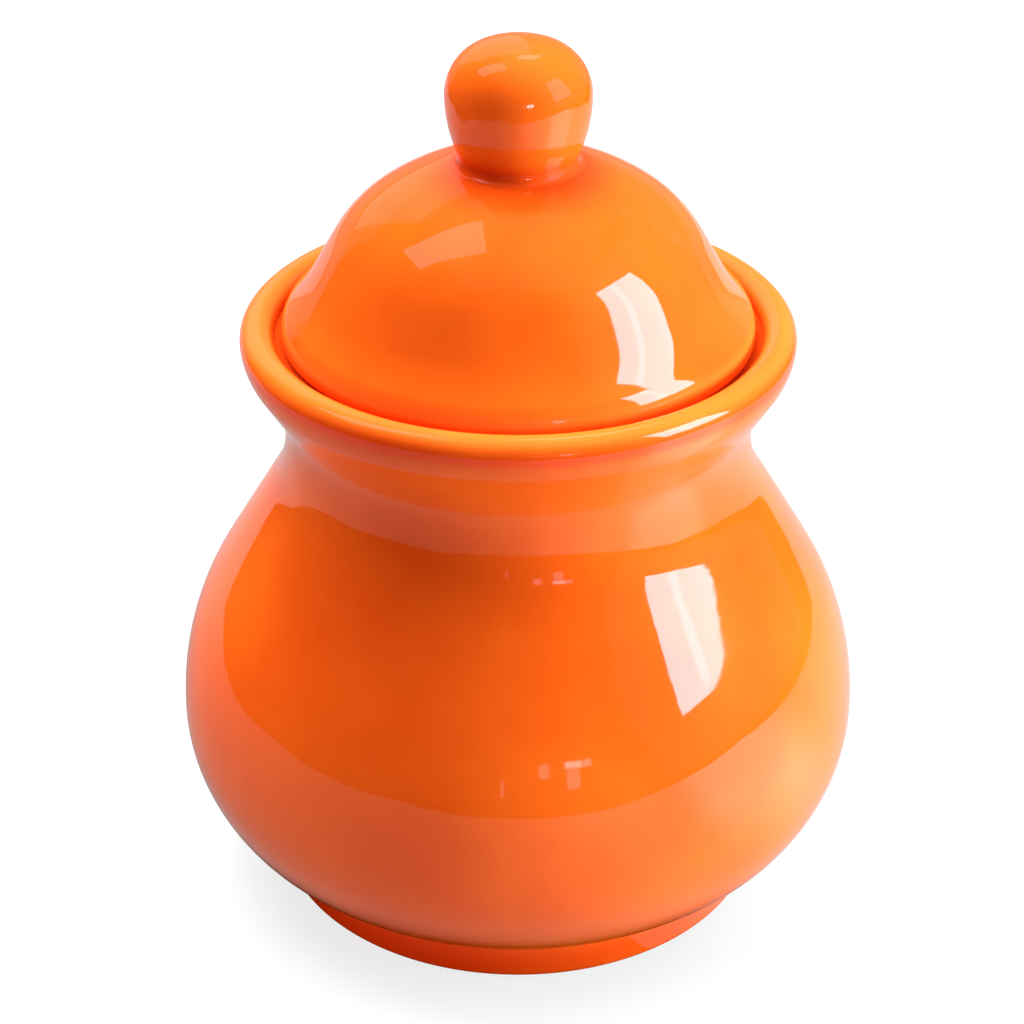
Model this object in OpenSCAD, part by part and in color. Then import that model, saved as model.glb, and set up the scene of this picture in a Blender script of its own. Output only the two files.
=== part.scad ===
// Sugar jar: a pear-shaped glazed pot on a foot ring, with a domed lid that lifts off.
// Millimetres, +Z up. The origin is the middle of the foot's underside.
// Every piece is turned about Z from an outline of radius and height.

/* [Pot] */
// Diameter of the belly at its widest
belly_d = 105; // [100:0.5:110]
// Height of the belly's widest ring
belly_z = 28.5; // [26:0.5:31]
// Lean of the shoulder's straight middle, as a multiple of the lean of the line from belly to neck
shoulder_bend = 1.495; // [1.35:0.005:1.7]
// Diameter of the neck at its narrowest
neck_d = 69.8; // [68:0.2:72]
// Height of the neck's narrowest ring
neck_z = 75; // [72:0.5:77]
// Share of the shoulder's bending radius that goes to the hollow curve into the neck
neck_share = 0.282; // [0.2:0.002:0.4]
// Thickness of the pot's wall
wall = 4; // [3.2:0.1:4.6]
// Thickness of the pot's floor
floor_t = 4.5; // [3.5:0.1:7]

/* [Rim] */
// Diameter of the rim at its widest
rim_d = 81.8; // [80:0.2:84]
// Height of the rim's widest ring
rim_z = 90.5; // [89:0.5:94]
// Lean of the rim's underside, as a multiple of the lean of the line from neck to rim
rim_bend = 1.512; // [1.35:0.004:1.7]
// Share of the underside's bending radius that goes to the full curve below the rim's edge
rim_share = 0.389; // [0.25:0.001:0.5]
// Radius of the rounded lip
lip_r = 2.5; // [2:0.1:2.8]
// Depth of the lid's seat below the rim's widest ring
seat_drop = 0.2; // [0.1:0.1:1.5]

/* [Foot] */
// Diameter of the foot where it meets the belly
crease_d = 77.8; // [74:0.2:82]
// Diameter of the foot at the table
foot_d = 76.6; // [72:0.2:80]
// Height of the foot
foot_h = 6.6; // [5.4:0.1:8]
// Width of the foot ring
foot_t = 4.6; // [3:0.1:7]
// Radius of the foot's rounded lower edges
foot_edge = 1; // [0.4:0.1:1.3]

/* [Lid] */
// Gap between the lid's brim and the rim around it
brim_gap = 1; // [0.6:0.1:1.6]
// Radius of the brim's rounded edge
brim_edge = 1.5; // [1:0.1:1.9]
// Height of the dome's crown above the seat
dome_h = 27.7; // [26:0.1:30]
// Radius of the dome's crown
crown_r = 37; // [34:0.5:42]
// Radius of the dome's shoulder
dome_curve = 20.5; // [19:0.5:22]
// Radius of the hollow flare between the lid's straight flank and the brim
flare_curve = 10; // [6:0.5:15]
// Angle through which the flare turns, in degrees
flare_turn = 10; // [5:0.5:15]
// Thickness of the dome's wall
dome_wall = 4; // [3:0.1:5]

/* [Flange] */
// Gap between the lid's flange and the mouth around it
flange_gap = 1; // [0.6:0.1:1.6]
// Thickness of the flange
flange_t = 4.2; // [3.6:0.1:4.8]
// Depth of the flange below the seat
flange_h = 8; // [5:0.5:14]
// Radius of the flange's rounded lower edges
flange_edge = 1.2; // [0.5:0.1:1.3]

/* [Knob] */
// Diameter of the knob at its widest
knob_d = 21; // [19.6:0.2:24]
// Height of the knob's widest ring above its base
knob_rise = 10.3; // [8:0.1:13]
// Diameter of the knob's base
base_d = 19.2; // [18.4:0.2:21]
// Diameter of the knob's waist, just above its base
waist_d = 17.2; // [16:0.2:17.6]
// Height of the waist above the base
waist_h = 1.4; // [1:0.1:2]
// Radius of the hollow bead between the base and the waist
bead_curve = 1.4; // [1.3:0.1:3]
// Radius of the knob's upper round
knob_round = 7.6; // [6.5:0.1:8.4]
// Radius of the knob's crown
knob_crown = 20; // [14:0.5:40]

/* [Hidden] */
$fn = 128;
glaze = "#ee6a1c";
// Overlap of a cutting outline past the face that it opens
cut = 1;
// Largest distance of a curve's steps from the true curve
curve_error = 0.01;

// The point at a distance from p towards q
function toward(p, q, distance) = p + (q - p) * distance / norm(q - p);

// The point at a distance and an angle from a centre
function polar(centre, distance, angle) = centre + distance * [cos(angle), sin(angle)];

// Radius of an arc that is upright at one end and moves sideways and along by these amounts
function upright_arc(sideways, along) = (sideways * sideways + along * along) / (2 * sideways);

// Lean from the vertical, in degrees, of a line that moves sideways and along by these amounts
function lean_of(sideways, along) = atan2(sideways, along);

// Sum of the two radii of an S-curve that is upright at both ends and has a straight, leaning middle
function s_curve(sideways, along, lean) = (along * sin(lean) - sideways * cos(lean)) / (1 - cos(lean));

// Lean from the vertical, in degrees, of the line that lies outside both circles and touches them
function tangent_lean(c1, r1, c2, r2) = atan2(c2.y - c1.y, c2.x - c1.x) + acos((r1 - r2) / norm(c2 - c1));

// Centre of the arc over the chord from p to q, left of the chord for a positive radius
function arc_centre(p, q, radius) =
    let (half = (q - p) / 2)
    let (left = [-half.y, half.x] / norm(half))
    p + half + left * sign(radius) * sqrt(radius * radius - half * half);

// The points of an edge from p up to q, without q
function edge(p, q, curve) =
    curve == 0 ? [p] :
    let (centre = arc_centre(p, q, curve))
    let (start = atan2(p.y - centre.y, p.x - centre.x))
    let (turn = 2 * asin(norm(q - p) / (2 * curve)))
    let (steps = ceil(abs(turn) / (2 * acos(1 - curve_error / abs(curve)))))
    [for (i = [0:steps - 1]) polar(centre, abs(curve), start + turn * i / steps)];

// A closed outline, drawn counterclockwise. Each row is a corner's radius and height, and the curve of
// the edge after it: positive for a full curve, negative for a hollow one, 0 for a straight line
module outline(rows) {
    corners = [for (row = rows) [row[0], row[1]]];
    count = len(rows);
    polygon([for (i = [0:count - 1]) each edge(corners[i], corners[(i + 1) % count], rows[i][2])]);
}

// One row of an outline
function row(point, curve = 0) = [point.x, point.y, curve];

// Pot
belly_r = belly_d / 2;
neck_r = neck_d / 2;
rim_r = rim_d / 2;
crease_r = crease_d / 2;
lower_curve = upright_arc(belly_r - crease_r, belly_z - foot_h);
shoulder_lean = shoulder_bend * lean_of(belly_r - neck_r, neck_z - belly_z);
shoulder_curves = s_curve(belly_r - neck_r, neck_z - belly_z, shoulder_lean);
neck_curve = neck_share * shoulder_curves;
shoulder_curve = shoulder_curves - neck_curve;
rim_lean = rim_bend * lean_of(rim_r - neck_r, rim_z - neck_z);
rim_curves = s_curve(rim_r - neck_r, rim_z - neck_z, rim_lean);
rim_curve = rim_share * rim_curves;
collar_curve = rim_curves - rim_curve;
lower_centre = [belly_r - lower_curve, belly_z];
shoulder_centre = [belly_r - shoulder_curve, belly_z];
neck_centre = [neck_r + neck_curve, neck_z];
collar_centre = [neck_r + collar_curve, neck_z];
rim_centre = [rim_r - rim_curve, rim_z];
lip_inner_r = rim_r - 2 * lip_r;
seat_z = rim_z - seat_drop;
mouth_r = neck_r - wall;
floor_z = foot_h + floor_t;
floor_r = lower_centre.x + sqrt(pow(lower_curve - wall, 2) - pow(belly_z - floor_z, 2));

// Foot
foot_r = foot_d / 2;
foot_inner_r = foot_r - foot_t;

// Lid, with its heights from the seat
brim_r = lip_inner_r - brim_gap;
brim_centre = [brim_r - brim_edge, brim_edge];
crown_centre = [0, dome_h - crown_r];
flange_r = mouth_r - flange_gap;
hollow_r = flange_r - flange_t;
dome_x = hollow_r + dome_wall - dome_curve;
dome_centre = [dome_x, crown_centre.y + sqrt(pow(crown_r - dome_curve, 2) - dome_x * dome_x)];
flank_offset = (flare_curve + brim_edge) * cos(flare_turn) - flare_curve;
flank_lean = tangent_lean(dome_centre, dome_curve, brim_centre, flank_offset);
flare_lean = flank_lean + flare_turn;
flare_centre = polar(brim_centre, flare_curve + brim_edge, flare_lean);

// Knob, with its heights from the seat
knob_r = knob_d / 2;
base_r = base_d / 2;
waist_r = waist_d / 2;
base_z = crown_centre.y + sqrt(crown_r * crown_r - base_r * base_r);
knob_z = base_z + knob_rise;
knob_side = upright_arc(knob_r - waist_r, knob_rise - waist_h);
round_centre = [knob_r - knob_round, knob_z];
knob_drop = sqrt(pow(knob_crown - knob_round, 2) - pow(round_centre.x, 2));
cap_centre = [0, knob_z - knob_drop];

// The pot's side from the belly to the neck, moved inwards by a depth
function pot_side(depth) = [
    [belly_r - depth, belly_z, shoulder_curve - depth],
    row(polar(shoulder_centre, shoulder_curve - depth, shoulder_lean)),
    row(polar(neck_centre, -neck_curve - depth, shoulder_lean), -neck_curve - depth)
];

module jar_body() {
    outside = concat(
        [[0, foot_h, 0], [crease_r, foot_h, lower_curve]],
        pot_side(0),
        [[neck_r, neck_z, 0], [0, neck_z, 0]]
    );
    cavity = concat(
        [[0, floor_z, 0], [floor_r, floor_z, lower_curve - wall]],
        pot_side(wall),
        [[mouth_r, neck_z, 0], [mouth_r, neck_z + cut, 0], [0, neck_z + cut, 0]]
    );
    color(glaze) rotate_extrude() difference() {
        outline(outside);
        outline(cavity);
    }
}

module jar_collar() {
    color(glaze) rotate_extrude() outline([
        [mouth_r, neck_z, 0],
        [neck_r, neck_z, -collar_curve],
        row(polar(collar_centre, -collar_curve, -rim_lean)),
        row(polar(rim_centre, rim_curve, -rim_lean), rim_curve),
        [rim_r, rim_z, lip_r],
        [rim_r - lip_r, rim_z + lip_r, lip_r],
        [lip_inner_r, rim_z, 0],
        [lip_inner_r, seat_z, 0],
        [mouth_r, seat_z, 0]
    ]);
}

module foot_ring() {
    color(glaze) rotate_extrude() outline([
        [foot_inner_r + foot_edge, 0, 0],
        [foot_r - foot_edge, 0, foot_edge],
        [foot_r, foot_edge, 0],
        [crease_r, foot_h, 0],
        [foot_inner_r, foot_h, 0],
        [foot_inner_r, foot_edge, foot_edge]
    ]);
}

module lid_dome() {
    outside = [
        [0, 0, 0],
        [brim_centre.x, 0, brim_edge],
        [brim_r, brim_edge, brim_edge],
        row(polar(brim_centre, brim_edge, flare_lean), -flare_curve),
        row(polar(flare_centre, -flare_curve, flank_lean)),
        row(polar(dome_centre, dome_curve, flank_lean), dome_curve),
        row(toward(crown_centre, dome_centre, crown_r), crown_r),
        [base_r, base_z, 0],
        [0, base_z, 0]
    ];
    hollow = [
        [0, -cut, 0],
        [hollow_r, -cut, 0],
        [hollow_r, dome_centre.y, dome_curve - dome_wall],
        row(toward(crown_centre, dome_centre, crown_r - dome_wall), crown_r - dome_wall),
        [0, dome_h - dome_wall, 0]
    ];
    color(glaze) translate([0, 0, seat_z]) rotate_extrude() difference() {
        outline(outside);
        outline(hollow);
    }
}

module lid_knob() {
    color(glaze) translate([0, 0, seat_z]) rotate_extrude() outline([
        [0, base_z, 0],
        [base_r, base_z, -bead_curve],
        [waist_r, base_z + waist_h, knob_side],
        [knob_r, knob_z, knob_round],
        row(toward(cap_centre, round_centre, knob_crown), knob_crown),
        [0, cap_centre.y + knob_crown, 0]
    ]);
}

module lid_flange() {
    color(glaze) translate([0, 0, seat_z]) rotate_extrude() outline([
        [hollow_r + flange_edge, -flange_h, 0],
        [flange_r - flange_edge, -flange_h, flange_edge],
        [flange_r, flange_edge - flange_h, 0],
        [flange_r, 0, 0],
        [hollow_r, 0, 0],
        [hollow_r, flange_edge - flange_h, flange_edge]
    ]);
}

jar_body();
jar_collar();
foot_ring();
lid_dome();
lid_knob();
lid_flange();
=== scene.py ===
"""The sugar jar as it looks: glazed pieces turned on the CAD frame's axis, in soft window light.

Outlines are in millimetres, as (radius, height) from the middle of the foot's underside.
Objects are in metres.
"""

import math

import bpy
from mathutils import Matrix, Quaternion, Vector

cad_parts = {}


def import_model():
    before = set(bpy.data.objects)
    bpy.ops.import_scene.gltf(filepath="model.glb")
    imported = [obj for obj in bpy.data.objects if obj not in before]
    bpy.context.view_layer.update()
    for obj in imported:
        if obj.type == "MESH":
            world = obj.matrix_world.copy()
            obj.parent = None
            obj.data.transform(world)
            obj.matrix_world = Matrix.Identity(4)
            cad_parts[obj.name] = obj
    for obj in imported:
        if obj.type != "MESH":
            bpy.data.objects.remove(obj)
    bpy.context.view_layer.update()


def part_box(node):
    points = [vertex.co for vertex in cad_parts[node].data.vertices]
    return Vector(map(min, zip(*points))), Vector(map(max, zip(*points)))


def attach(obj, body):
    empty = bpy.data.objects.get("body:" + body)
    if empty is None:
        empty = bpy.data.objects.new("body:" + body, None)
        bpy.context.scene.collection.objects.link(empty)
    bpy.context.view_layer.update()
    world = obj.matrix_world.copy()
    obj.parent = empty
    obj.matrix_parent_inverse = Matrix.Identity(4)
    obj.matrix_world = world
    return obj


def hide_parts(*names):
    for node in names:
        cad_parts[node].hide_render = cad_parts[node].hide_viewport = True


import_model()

MM = 0.001
SEGMENTS = 256
IMAGE = 1024


def reach(node):
    """Largest radius, lowest and highest point of a CAD node, in millimetres."""
    low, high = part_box(node)
    return min(high[0], high[1]) / MM, low[2] / MM, high[2] / MM


# Sizes of the solids
BELLY_R, FOOT_H, NECK_Z = reach("jar_body")
RIM_R, _, LIP_Z = reach("jar_collar")
CREASE_R, _, _ = reach("foot_ring")
BRIM_R, SEAT_Z, BASE_Z = reach("lid_dome")
FLANGE_R, FLANGE_Z, _ = reach("lid_flange")
KNOB_R, _, TOP_Z = reach("lid_knob")

# Pot
BELLY_Z = 28.5
NECK_R = 34.9
WALL = 4.0
FLOOR_Z = FOOT_H + 4.5
SHOULDER_BEND = 1.495
NECK_SHARE = 0.282
RIM_BEND = 1.512
RIM_SHARE = 0.389
LIP_R = 2.5
RIM_Z = LIP_Z - LIP_R
MOUTH_R = NECK_R - WALL

# Foot
FOOT_R = CREASE_R - 0.6
FOOT_T = 4.6
FOOT_EDGE = 1.0

# Lid
BRIM_EDGE = 1.0
BRIM_ROUND = 5.5
CROWN_R = 37.0
DOME_CURVE = 20.0
FLARE_CURVE = 24.0
FLARE_TURN = math.radians(14)
DOME_WALL = 4.0
HOLLOW_R = FLANGE_R - 4.2
FLANGE_EDGE = 1.2

# Knob
BASE_R = 9.6
WAIST_R = 8.6
WAIST_Z = BASE_Z + 1.4
KNOB_Z = BASE_Z + 10.3
BEAD_CURVE = 1.4
KNOB_ROUND = 7.6
KNOB_CROWN = 20.0

# Softened corners
SOFT = 0.4
CREASE_SOFT = 0.6


# Outlines

def polar(centre, distance, angle):
    return Vector((centre[0] + distance * math.cos(angle), centre[1] + distance * math.sin(angle)))


def toward(p, q, distance):
    p, q = Vector(p), Vector(q)
    return p + (q - p).normalized() * distance


def arc_centre(p, q, radius):
    """Centre of the arc over the chord from p to q, left of the chord for a positive radius."""
    half = (q - p) / 2
    left = Vector((-half.y, half.x)).normalized()
    return p + half + left * math.copysign(math.sqrt(radius * radius - half.length_squared), radius)


def edge(p, q, curve):
    """Points from p to q on a straight line (0), a full curve (positive) or a hollow one (negative)."""
    if curve == 0:
        steps = max(1, round((q - p).length / 3))
        return [p.lerp(q, i / steps) for i in range(steps + 1)]
    centre = arc_centre(p, q, curve)
    start = math.atan2(p.y - centre.y, p.x - centre.x)
    turn = 2 * math.asin((q - p).length / (2 * curve))
    steps = max(6, math.ceil(abs(turn) / math.radians(3)))
    return [polar(centre, abs(curve), start + turn * i / steps) for i in range(steps + 1)]


def cut_back(points, length):
    """The points without the first stretch of this length."""
    if length == 0:
        return points
    for i in range(1, len(points)):
        step = (points[i] - points[i - 1]).length
        if step > length:
            return [points[i - 1].lerp(points[i], length / step)] + points[i:]
        length -= step
    raise ValueError("the edge is shorter than its softened corners")


def outline(rows):
    """Points of a closed outline. A row is radius, height, the curve after it and its softening."""
    corners = [Vector(row[:2]) for row in rows]
    soft = [row[3] if len(row) > 3 else 0 for row in rows]
    count = len(rows)
    points = []
    for i in range(count):
        after = (i + 1) % count
        run = edge(corners[i], corners[after], rows[i][2])
        run = cut_back(run, soft[i])
        run = cut_back(run[::-1], soft[after])[::-1]
        if soft[i]:
            run = corner(points, corners, rows, soft, i, run[0]) + run
        points += run if soft[after] else run[:-1]
    return points


def corner(points, corners, rows, soft, i, end):
    """Points of the small curve that softens corner i, up to its end."""
    before = (i - 1) % len(rows)
    run = edge(corners[before], corners[i], rows[before][2])
    start = cut_back(run[::-1], soft[i])[0]
    steps = 6
    first = 1 if points else 0
    shares = [k / steps for k in range(first, steps)]
    return [(1 - t) ** 2 * start + 2 * t * (1 - t) * corners[i] + t * t * end for t in shares]


def lathe(name, rows, body, nodes, materials, bare=None):
    """A closed mesh turned about Z. Faces that bare(radius, height) picks get the second material."""
    profile = outline(rows)
    verts, rings = [], []
    for r, z in profile:
        first = len(verts)
        if r < 1e-6:
            verts.append((0, 0, z * MM))
            rings.append([first] * SEGMENTS)
            continue
        for k in range(SEGMENTS):
            angle = 2 * math.pi * k / SEGMENTS
            verts.append((r * math.cos(angle) * MM, r * math.sin(angle) * MM, z * MM))
        rings.append(list(range(first, first + SEGMENTS)))
    faces, picks = [], []
    count = len(profile)
    for i in range(count):
        low, high = rings[i], rings[(i + 1) % count]
        if low[0] == low[1] and high[0] == high[1]:
            continue
        middle = (profile[i] + profile[(i + 1) % count]) / 2
        pick = 1 if bare and bare(middle.x, middle.y) else 0
        for k in range(SEGMENTS):
            m = (k + 1) % SEGMENTS
            face = dict.fromkeys((low[k], low[m], high[m], high[k]))
            faces.append(tuple(face))
            picks.append(pick)
    mesh = bpy.data.meshes.new(name)
    mesh.from_pydata(verts, [], faces)
    for material in materials:
        mesh.materials.append(material)
    mesh.polygons.foreach_set("material_index", picks)
    mesh.shade_smooth()
    mesh.validate()
    obj = bpy.data.objects.new(name, mesh)
    bpy.context.scene.collection.objects.link(obj)
    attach(obj, body)
    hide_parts(*nodes)
    return obj


# Pieces

def upright_arc(sideways, along):
    return (sideways * sideways + along * along) / (2 * sideways)


def s_curve(sideways, along, bend):
    """Lean of the straight middle and sum of the radii of an S-curve that is upright at both ends."""
    lean = bend * math.atan2(sideways, along)
    return lean, (along * math.sin(lean) - sideways * math.cos(lean)) / (1 - math.cos(lean))


def pot(glaze):
    lower = upright_arc(BELLY_R - CREASE_R, BELLY_Z - FOOT_H)
    lean, total = s_curve(BELLY_R - NECK_R, NECK_Z - BELLY_Z, SHOULDER_BEND)
    neck = NECK_SHARE * total
    shoulder = total - neck
    rim_lean, rim_total = s_curve(RIM_R - NECK_R, RIM_Z - NECK_Z, RIM_BEND)
    under = RIM_SHARE * rim_total
    collar = rim_total - under
    lower_x = BELLY_R - lower
    floor_r = lower_x + math.sqrt((lower - WALL) ** 2 - (BELLY_Z - FLOOR_Z) ** 2)
    shoulder_c = (BELLY_R - shoulder, BELLY_Z)
    neck_c = (NECK_R + neck, NECK_Z)
    lip_inner = RIM_R - 2 * LIP_R
    outside = [
        (0, FOOT_H, 0),
        (CREASE_R, FOOT_H, lower, CREASE_SOFT),
        (BELLY_R, BELLY_Z, shoulder),
        (*polar(shoulder_c, shoulder, lean), 0),
        (*polar(neck_c, -neck, lean), -neck),
        (NECK_R, NECK_Z, -collar),
        (*polar((NECK_R + collar, NECK_Z), -collar, -rim_lean), 0),
        (*polar((RIM_R - under, RIM_Z), under, -rim_lean), under),
        (RIM_R, RIM_Z, LIP_R),
        (RIM_R - LIP_R, LIP_Z, LIP_R),
    ]
    seat = [
        (lip_inner, RIM_Z, 0),
        (lip_inner, SEAT_Z, 0),
        (MOUTH_R, SEAT_Z, 0, SOFT),
    ]
    inside = [
        (MOUTH_R, NECK_Z, neck + WALL),
        (*polar(neck_c, -neck - WALL, lean), 0),
        (*polar(shoulder_c, shoulder - WALL, lean), WALL - shoulder),
        (BELLY_R - WALL, BELLY_Z, WALL - lower),
        (floor_r, FLOOR_Z, 0, 2.5),
        (0, FLOOR_Z, 0),
    ]
    return lathe("pot", outside + seat + inside, "jar", ("jar_body", "jar_collar"), [glaze])


def foot(glaze, clay):
    inner = FOOT_R - FOOT_T
    rows = [
        (inner + FOOT_EDGE, 0, 0),
        (FOOT_R - FOOT_EDGE, 0, FOOT_EDGE),
        (FOOT_R, FOOT_EDGE, 0),
        (CREASE_R, FOOT_H, 0, SOFT),
        (inner, FOOT_H, 0),
        (inner, FOOT_EDGE, FOOT_EDGE),
    ]
    return lathe("foot", rows, "jar", ("foot_ring",), [glaze, clay], lambda r, z: z < FOOT_EDGE / 4)


def dome(glaze):
    crown_z = BASE_Z + CROWN_R - math.sqrt(CROWN_R ** 2 - BASE_R ** 2)
    crown_c = Vector((0, crown_z - CROWN_R))
    dome_x = HOLLOW_R + DOME_WALL - DOME_CURVE
    dome_c = Vector((dome_x, crown_c.y + math.sqrt((CROWN_R - DOME_CURVE) ** 2 - dome_x ** 2)))
    brim_c = Vector((BRIM_R - BRIM_ROUND, SEAT_Z + BRIM_EDGE))
    flare = FLARE_CURVE + BRIM_ROUND
    lean = tangent_lean(dome_c, DOME_CURVE, brim_c, flare * math.cos(FLARE_TURN) - FLARE_CURVE)
    flare_c = polar(brim_c, flare, lean + FLARE_TURN)
    inner_curve = DOME_CURVE - DOME_WALL
    inner_crown = CROWN_R - DOME_WALL
    rows = [
        (HOLLOW_R, SEAT_Z, 0),
        (BRIM_R - BRIM_EDGE, SEAT_Z, BRIM_EDGE),
        (BRIM_R, brim_c.y, BRIM_ROUND),
        (*polar(brim_c, BRIM_ROUND, lean + FLARE_TURN), -FLARE_CURVE),
        (*polar(flare_c, -FLARE_CURVE, lean), 0),
        (*polar(dome_c, DOME_CURVE, lean), DOME_CURVE),
        (*toward(crown_c, dome_c, CROWN_R), CROWN_R),
        (BASE_R, BASE_Z, 0),
        (0, BASE_Z, 0),
        (0, crown_z - DOME_WALL, -inner_crown),
        (*toward(crown_c, dome_c, inner_crown), -inner_curve),
        (HOLLOW_R, dome_c.y, 0),
    ]
    return lathe("lid_bell", rows, "lid", ("lid_dome",), [glaze])


def tangent_lean(c1, r1, c2, r2):
    """Lean from the vertical of the line that lies outside both circles and touches them."""
    way = c2 - c1
    return math.atan2(way.y, way.x) + math.acos((r1 - r2) / way.length)


def flange(glaze):
    rows = [
        (HOLLOW_R + FLANGE_EDGE, FLANGE_Z, 0),
        (FLANGE_R - FLANGE_EDGE, FLANGE_Z, FLANGE_EDGE),
        (FLANGE_R, FLANGE_Z + FLANGE_EDGE, 0),
        (FLANGE_R, SEAT_Z, 0),
        (HOLLOW_R, SEAT_Z, 0),
        (HOLLOW_R, FLANGE_Z + FLANGE_EDGE, FLANGE_EDGE),
    ]
    return lathe("lid_locating_ring", rows, "lid", ("lid_flange",), [glaze])


def knob(glaze):
    side = upright_arc(KNOB_R - WAIST_R, KNOB_Z - WAIST_Z)
    round_c = Vector((KNOB_R - KNOB_ROUND, KNOB_Z))
    cap_c = Vector((0, TOP_Z - KNOB_CROWN))
    rows = [
        (0, BASE_Z, 0),
        (BASE_R, BASE_Z, -BEAD_CURVE),
        (WAIST_R, WAIST_Z, side, SOFT),
        (KNOB_R, KNOB_Z, KNOB_ROUND),
        (*toward(cap_c, round_c, KNOB_CROWN), KNOB_CROWN),
        (0, TOP_Z, 0),
    ]
    return lathe("knob", rows, "lid", ("lid_knob",), [glaze])


# Materials

class Nodes:
    """Short calls to build one material's node tree."""

    def __init__(self, name):
        self.material = bpy.data.materials.new(name)
        self.material.use_nodes = True
        self.tree = self.material.node_tree
        self.tree.nodes.clear()
        self.place = self.add("ShaderNodeTexCoord").outputs["Object"]
        self.shader = self.add("ShaderNodeBsdfPrincipled")
        output = self.add("ShaderNodeOutputMaterial")
        self.link(self.shader.outputs["BSDF"], output.inputs["Surface"])

    def add(self, kind, **settings):
        node = self.tree.nodes.new(kind)
        for key, value in settings.items():
            setattr(node, key, value)
        return node

    def link(self, source, socket):
        self.tree.links.new(source, socket)

    def noise(self, size, detail=2.0, rough=0.5):
        """Noise whose lumps are about this size in millimetres."""
        node = self.add("ShaderNodeTexNoise")
        node.inputs["Scale"].default_value = 1 / (size * MM)
        node.inputs["Detail"].default_value = detail
        node.inputs["Roughness"].default_value = rough
        self.link(self.place, node.inputs["Vector"])
        return node.outputs["Fac"]

    def span(self, source, low, high, to_low=0.0, to_high=1.0):
        """Maps low..high to to_low..to_high, smoothly and clamped."""
        node = self.add("ShaderNodeMapRange", interpolation_type="SMOOTHSTEP")
        node.inputs["From Min"].default_value = low
        node.inputs["From Max"].default_value = high
        node.inputs["To Min"].default_value = to_low
        node.inputs["To Max"].default_value = to_high
        self.link(source, node.inputs["Value"])
        return node.outputs["Result"]

    def maths(self, operation, a, b=0):
        node = self.add("ShaderNodeMath", operation=operation)
        for socket, value in zip(node.inputs, (a, b)):
            if isinstance(value, (int, float)):
                socket.default_value = value
            else:
                self.link(value, socket)
        return node.outputs["Value"]

    def mix(self, factor, a, b):
        node = self.add("ShaderNodeMix", data_type="RGBA")
        self.link(factor, node.inputs["Factor"])
        for socket, value in zip((node.inputs[6], node.inputs[7]), (a, b)):
            if isinstance(value, tuple):
                socket.default_value = (*value, 1)
            else:
                self.link(value, socket)
        return node.outputs[2]

    def bump(self, height, depth, normal=None):
        """Bump of a 0..1 height, depth in millimetres."""
        node = self.add("ShaderNodeBump")
        node.inputs["Distance"].default_value = depth * MM
        node.inputs["Strength"].default_value = 1.0
        self.link(height, node.inputs["Height"])
        if normal:
            self.link(normal, node.inputs["Normal"])
        return node.outputs["Normal"]


def glaze_material():
    n = Nodes("orange_glaze")
    split = n.add("ShaderNodeSeparateXYZ")
    n.link(n.place, split.inputs["Vector"])
    height = split.outputs["Z"]

    # Uneven thickness of the glaze, and bands by height of pooled glaze, painted shade and painted
    # light
    cloud = n.span(n.noise(26, 3), 0.35, 0.68)
    colour = n.mix(cloud, (0.72, 0.088, 0.0050), (0.79, 0.116, 0.0075))
    # Darker red bands, as height, half width and share: glaze pooled in the foot's crease; painted
    # shade over the whole foot; pooled glaze with painted shade at the knob's base; painted shade in
    # the gap at the lid's seat
    pools_and_painted_shade = ((FOOT_H, 1.3, 0.35), (FOOT_H / 2, 5.0, 0.5), (BASE_Z + 0.7, 3.0, 0.6), (SEAT_Z, 1.6, 0.7))
    for level, width, share in pools_and_painted_shade:
        distance = n.maths("ABSOLUTE", n.maths("SUBTRACT", height, level * MM))
        near = n.span(distance, width * MM, 0, 0, share)
        colour = n.mix(near, colour, (0.76, 0.040, 0.0030))
    # Lighter band at the height of the rim's lip, over the lip and the lid's brim: painted light where
    # they face the lights above, and thinner glaze on the lip's edge
    lip_light_rising = n.span(height, (SEAT_Z + 1.2) * MM, (LIP_Z - 0.3) * MM, 0, 0.35)
    lip_light_falling = n.span(height, (LIP_Z + 1.6) * MM, LIP_Z * MM)
    colour = n.mix(n.maths("MULTIPLY", lip_light_rising, lip_light_falling), colour, (0.95, 0.21, 0.028))

    # Pinholes and specks
    cells = n.add("ShaderNodeTexVoronoi")
    cells.inputs["Scale"].default_value = 1 / (3.2 * MM)
    n.link(n.place, cells.inputs["Vector"])
    dot = n.span(cells.outputs["Distance"], 0.075, 0.035)
    rare = n.add("ShaderNodeSeparateColor")
    n.link(cells.outputs["Color"], rare.inputs["Color"])
    speck = n.maths("MULTIPLY", dot, n.maths("GREATER_THAN", rare.outputs["Red"], 0.86))
    colour = n.mix(n.maths("MULTIPLY", speck, 0.55), colour, (0.55, 0.035, 0.003))
    n.link(colour, n.shader.inputs["Base Color"])

    rough = n.span(n.noise(9, 4, 0.6), 0.3, 0.75, 0.03, 0.06)
    n.link(n.maths("ADD", rough, n.maths("MULTIPLY", speck, 0.2)), n.shader.inputs["Roughness"])
    n.shader.inputs["IOR"].default_value = 1.5

    wave = n.bump(n.noise(24, 1), 0.10)
    peel = n.bump(n.noise(2.2, 2), 0.006, wave)
    pits = n.bump(n.maths("SUBTRACT", 1.0, speck), 0.02, peel)
    n.link(pits, n.shader.inputs["Normal"])
    return n.material


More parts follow.
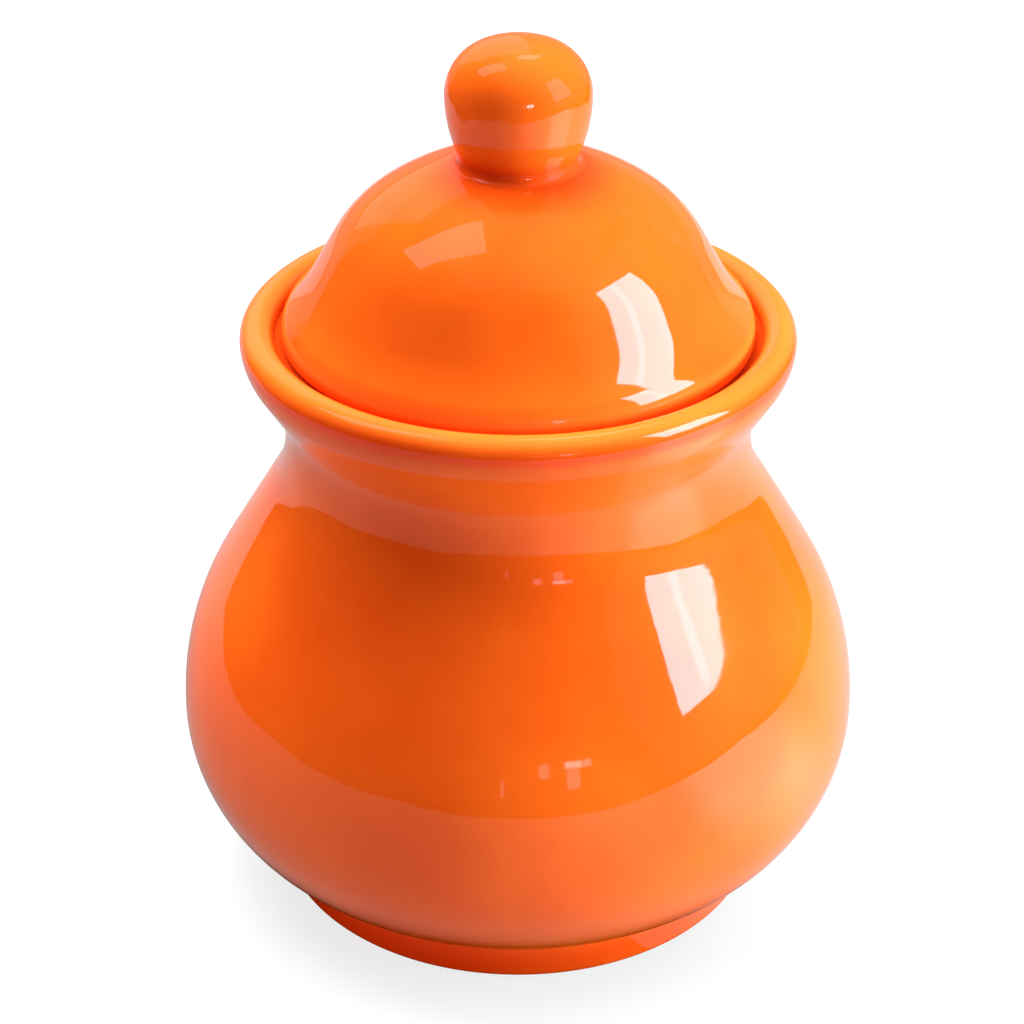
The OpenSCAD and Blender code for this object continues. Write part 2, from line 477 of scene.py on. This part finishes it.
def clay_material():
    n = Nodes("bare_clay")
    grain = n.noise(0.7, 4, 0.7)
    colour = n.mix(n.span(n.noise(7, 3), 0.35, 0.7), (0.66, 0.52, 0.38), (0.78, 0.66, 0.52))
    colour = n.mix(n.span(grain, 0.6, 0.75, 0, 0.6), colour, (0.48, 0.34, 0.23))
    n.link(colour, n.shader.inputs["Base Color"])
    n.link(n.span(grain, 0.3, 0.7, 0.7, 0.95), n.shader.inputs["Roughness"])
    n.link(n.bump(grain, 0.05), n.shader.inputs["Normal"])
    return n.material


# Stage

WHITE = (1, 1, 1)
WARM = (1, 0.15, 0.03)
COOL = (0.86, 1, 1)
DAYLIGHT = (0.65, 0.77, 0.96)
AIM = Vector((0, 0, 0.07))
TABLE_LIGHT_Z = 0.001


def direction(azimuth, elevation):
    """Unit vector. Azimuth 0 is towards the camera and 90 to the right, in degrees."""
    a, e = math.radians(azimuth), math.radians(elevation)
    return Vector((math.sin(a) * math.cos(e), -math.cos(a) * math.cos(e), math.sin(e)))


def area_light(name, location, rotation, width, height, radiance, only, colour):
    """A soft rectangular light along its own -Z. It is only "mirrored", or only shades the "body"."""
    light = bpy.data.lights.new(name, "AREA")
    light.shape = "RECTANGLE"
    light.size, light.size_y = width, height
    light.energy = radiance * math.pi * width * height
    light.color = colour
    obj = bpy.data.objects.new(name, light)
    obj.location = location
    obj.rotation_euler = rotation.to_euler()
    obj.visible_camera = False
    obj.visible_diffuse = only != "mirrored"
    obj.visible_glossy = only != "body"
    bpy.context.scene.collection.objects.link(obj)
    return obj


def panel(name, azimuth, elevation, distance, width, height, radiance, only, roll=0, colour=WHITE):
    """A light that faces the jar from a direction."""
    away = direction(azimuth, elevation)
    turn = (-away).to_track_quat("-Z", "Y") @ Quaternion((0, 0, 1), math.radians(roll))
    return area_light(name, AIM + away * distance, turn, width, height, radiance, only, colour)


def window(name, near, far, low, high, radiance):
    """A mirrored light, upright over the line from near to far, two points of the ground."""
    along = Vector((far[0] - near[0], far[1] - near[1], 0))
    middle = Vector(((near[0] + far[0]) / 2, (near[1] + far[1]) / 2, (low + high) / 2))
    turn = Vector((-along.y, along.x, 0)).to_track_quat("-Z", "Y")
    return area_light(name, middle, turn, along.length, high - low, radiance, "mirrored", DAYLIGHT)


def bounce(name, x, y, width, depth, radiance, colour=WHITE, only="body"):
    """Light that comes up from the table beside the jar."""
    turn = Vector((0, 0, 1)).to_track_quat("-Z", "Y")
    return area_light(name, (x, y, TABLE_LIGHT_Z), turn, width, depth, radiance, only, colour)


def reach_of(light, obj, keep):
    """Makes a light reach only this object, or everything but it."""
    group = bpy.data.collections.new(light.name + "_reach")
    group.objects.link(obj)
    group.collection_objects[0].light_linking.link_state = "INCLUDE" if keep else "EXCLUDE"
    light.light_linking.receiver_collection = group


# The window and its brighter gap: two points of the ground, and the heights of both edges
WINDOW_NEAR, WINDOW_FAR = (0.867, -0.568), (1.143, -0.016)
WINDOW_LOW, WINDOW_HIGH = 0.322, 1.041
GAP_NEAR, GAP_FAR = (0.937, -0.380), (0.970, -0.314)
GAP_LOW, GAP_HIGH = 0.34, 1.01
FAINT_LOW, FAINT_HIGH = 0.28, 1.16

# Distances of the shading lights and of the lamps
STUDIO = 1.2
LAMPS = 2.2

# Azimuth, elevation, distance, width, height and radiance of what the glaze mirrors
ROOM = {
    "back_window": (169, 56, 1.4, 0.30, 0.34, 1.8),
    "ceiling": (0, 89, 1.5, 1.7, 1.7, 0.14),
    "ceiling_back": (180, 50, 1.5, 1.8, 0.55, 0.2),
    "ceiling_right": (80, 66, 1.5, 1.6, 1.3, 0.08),
    "side_wall": (88, 25, 2.2, 4.4, 2.4, 0.17),
    "back_wall": (180, 15, 1.6, 3.6, 1.4, 0.17),
    "back_wall_low": (180, 2, 1.6, 3.6, 0.40, 0.12),
    "back_wall_left": (-160, 30, 1.6, 1.2, 1.1, 0.42),
    "lamp_a": (17.8, 10.6, LAMPS, 0.21, 0.10, 6),
    "lamp_b": (22.2, 10.6, LAMPS, 0.10, 0.10, 3),
    "lamp_c": (17.5, 5.2, LAMPS, 0.16, 0.28, 1.8),
    "lamp_d": (8.3, 9.3, LAMPS, 0.13, 0.20, 1.8),
    "lamp_e": (-5, 2.5, LAMPS, 0.03, 0.24, 1.5),
}

# Azimuth, elevation, width, height, radiance and colour of what shades the glaze
SHADING = {
    "key": (81, 8, 0.90, 0.36, 32.5, COOL),
    "key_high": (85, 48, 0.70, 0.50, 8.5, COOL),
    "fill": (-122, 65, 0.90, 0.70, 10.5, WHITE),
    "fill_back": (180, 66, 0.70, 0.50, 22, COOL),
    "fill_front": (-14, 12, 0.80, 0.60, 0.7, WHITE),
    "warm_fill": (-26, 26, 0.60, 0.40, 4.0, WARM),
}

# X, Y, width, depth, radiance and colour of the light that comes up from the table
BOUNCES = {
    "bounce_left": (-0.20, 0, 0.16, 0.16, 4.4, WHITE),
    "bounce_right": (0.14, -0.15, 0.16, 0.16, 4, COOL),
    "bounce_near": (-0.05, -0.10, 0.14, 0.08, 0.7, WHITE),
}


def mirrored_lights(top, base):
    """What the glaze mirrors. The knob, top, has a fainter window and a brighter lamp than the rest."""
    window_light = window("window", WINDOW_NEAR, WINDOW_FAR, WINDOW_LOW, WINDOW_HIGH, 15.6)
    gap_light = window("window_gap", GAP_NEAR, GAP_FAR, GAP_LOW, GAP_HIGH, 3.5)
    faint_light = window("window_faint", WINDOW_NEAR, WINDOW_FAR, FAINT_LOW, FAINT_HIGH, 1.9)
    reach_of(window_light, top, False)
    reach_of(gap_light, top, False)
    reach_of(faint_light, top, True)
    panel("left_window", -105, 61, 1.3, 0.42, 0.74, 1.6, "mirrored", roll=18)
    for name, row in ROOM.items():
        panel(name, *row, "mirrored")
    sheen = bounce("foot_sheen", 0.12, -0.06, 0.20, 0.20, 0.6, only="mirrored")
    reach_of(sheen, base, True)
    lamp = panel("lamp_bright", 17.8, 10.6, LAMPS, 0.36, 0.20, 18, "mirrored")
    reach_of(lamp, top, True)


def body_lights(base):
    """What shades the glaze's colour. The foot, base, also has a light of its own."""
    for name, (azimuth, elevation, width, height, radiance, colour) in SHADING.items():
        panel(name, azimuth, elevation, STUDIO, width, height, radiance, "body", colour=colour)
    for name, row in BOUNCES.items():
        bounce(name, *row)
    foot_fill = panel("foot_fill", -25, 4, STUDIO, 0.50, 0.30, 8, "body", colour=(1, 0.4, 0.2))
    reach_of(foot_fill, base, True)


def flat(name, corners, height, material):
    mesh = bpy.data.meshes.new(name)
    mesh.from_pydata([(x, y, height) for x, y in corners], [], [tuple(range(len(corners)))])
    mesh.materials.append(material)
    obj = bpy.data.objects.new(name, mesh)
    bpy.context.scene.collection.objects.link(obj)
    return obj


def grey(level):
    return (level, level, level)


def floor_paper():
    """Matt white paper that glows a little, so that it looks white beside the sunlit jar."""
    n = Nodes("floor_paper")
    n.link(n.mix(n.noise(40, 3), grey(0.19), grey(0.21)), n.shader.inputs["Base Color"])
    n.shader.inputs["Roughness"].default_value = 0.9
    n.shader.inputs["Specular IOR Level"].default_value = 0.1
    n.shader.inputs["Emission Color"].default_value = (1, 1, 1, 1)
    n.shader.inputs["Emission Strength"].default_value = 0.80
    return n.material


def painted_table_light():
    """The table as the jar mirrors it, a sheet that glows with painted light: painted shade on the
    left, the window's painted reflection on the right, and a painted shadow around the foot.
    """
    n = Nodes("painted_table_light")
    split = n.add("ShaderNodeSeparateXYZ")
    n.link(n.place, split.inputs["Vector"])
    x, y = split.outputs["X"], split.outputs["Y"]
    right = n.span(x, -0.03, 0.12)
    front = n.mix(right, grey(0.42), grey(0.96))
    back = n.mix(right, grey(0.64), grey(0.80))
    ground = n.mix(n.span(y, 0.05, 0.16), front, back)
    azimuth = n.maths("ARCTAN2", x, n.maths("MULTIPLY", y, -1))
    sector = n.maths("MULTIPLY", n.span(azimuth, math.radians(44), math.radians(58)),
                     n.span(azimuth, math.radians(98), math.radians(78)))
    sheen = n.maths("MULTIPLY", sector, n.span(x, 0.05, 0.12))
    sunlit = n.mix(sheen, ground, grey(2.5))
    squares = n.maths("ADD", n.maths("MULTIPLY", x, x), n.maths("MULTIPLY", y, y))
    distance = n.maths("SQRT", squares)
    # Painted shadow around the foot: the sheet is dark within about 40 to 55 mm of the axis, except on
    # the right
    clear = n.maths("MAXIMUM", n.span(distance, 0.039, 0.055), n.span(x, 0.02, 0.05))
    n.link(n.mix(clear, grey(0), sunlit), n.shader.inputs["Emission Color"])
    n.shader.inputs["Emission Strength"].default_value = 1.0
    n.shader.inputs["Base Color"].default_value = (0, 0, 0, 1)
    n.shader.inputs["Specular IOR Level"].default_value = 0.0
    return n.material


def table():
    """The sheet of painted light that the jar mirrors, and the wider floor that the camera sees."""
    sheet = flat("sheet", [
        (-0.20, -0.285), (0.0, -0.31), (0.13, -0.295), (0.27, -0.30), (0.42, -0.28), (0.62, -0.19),
        (0.48, 0.03), (0.395, 0.135), (0.36, 0.22), (0.25, 0.24), (0.42, 0.62), (-0.60, 0.75),
        (-0.34, 0.28), (-0.36, 0.20), (-0.28, 0.10), (-0.26, 0.03), (-0.30, -0.07),
    ], 0.0, painted_table_light())
    sheet.visible_camera = False
    sheet.visible_shadow = False
    floor = flat("floor", [(-6, -6), (6, -6), (6, 6), (-6, 6)], -0.0003, floor_paper())
    floor.visible_diffuse = False
    floor.visible_glossy = False


def world():
    scene = bpy.context.scene
    scene.world = bpy.data.worlds.new("room")
    scene.world.use_nodes = True
    tree = scene.world.node_tree
    tree.nodes.clear()
    path = tree.nodes.new("ShaderNodeLightPath")
    room = tree.nodes.new("ShaderNodeBackground")
    room.inputs["Color"].default_value = (1, 0.96, 0.92, 1)
    room.inputs["Strength"].default_value = 0.02
    seen = tree.nodes.new("ShaderNodeBackground")
    seen.inputs["Color"].default_value = (1, 1, 1, 1)
    seen.inputs["Strength"].default_value = 0.95
    either = tree.nodes.new("ShaderNodeMixShader")
    output = tree.nodes.new("ShaderNodeOutputWorld")
    tree.links.new(path.outputs["Is Camera Ray"], either.inputs["Fac"])
    tree.links.new(room.outputs["Background"], either.inputs[1])
    tree.links.new(seen.outputs["Background"], either.inputs[2])
    tree.links.new(either.outputs["Shader"], output.inputs["Surface"])
    scene.view_settings.view_transform = "Standard"


def camera():
    focal = 2588.9
    distance = 0.39656
    target = Vector((0, 0, 0.05947))
    axis_column = 518
    cam = bpy.data.cameras.new("camera")
    cam.sensor_width = 36
    cam.lens = focal * cam.sensor_width / IMAGE
    cam.clip_start = 0.01
    obj = bpy.data.objects.new("camera", cam)
    sideways = (axis_column - IMAGE / 2) * distance / focal
    back = direction(0, 29.79)
    obj.location = target + back * distance - Vector((sideways, 0, 0))
    obj.rotation_euler = (-back).to_track_quat("-Z", "Y").to_euler()
    bpy.context.scene.collection.objects.link(obj)
    bpy.context.scene.camera = obj


glaze = glaze_material()
pot(glaze)
base = foot(glaze, clay_material())
dome(glaze)
flange(glaze)
top = knob(glaze)
camera()
mirrored_lights(top, base)
body_lights(base)
table()
world()
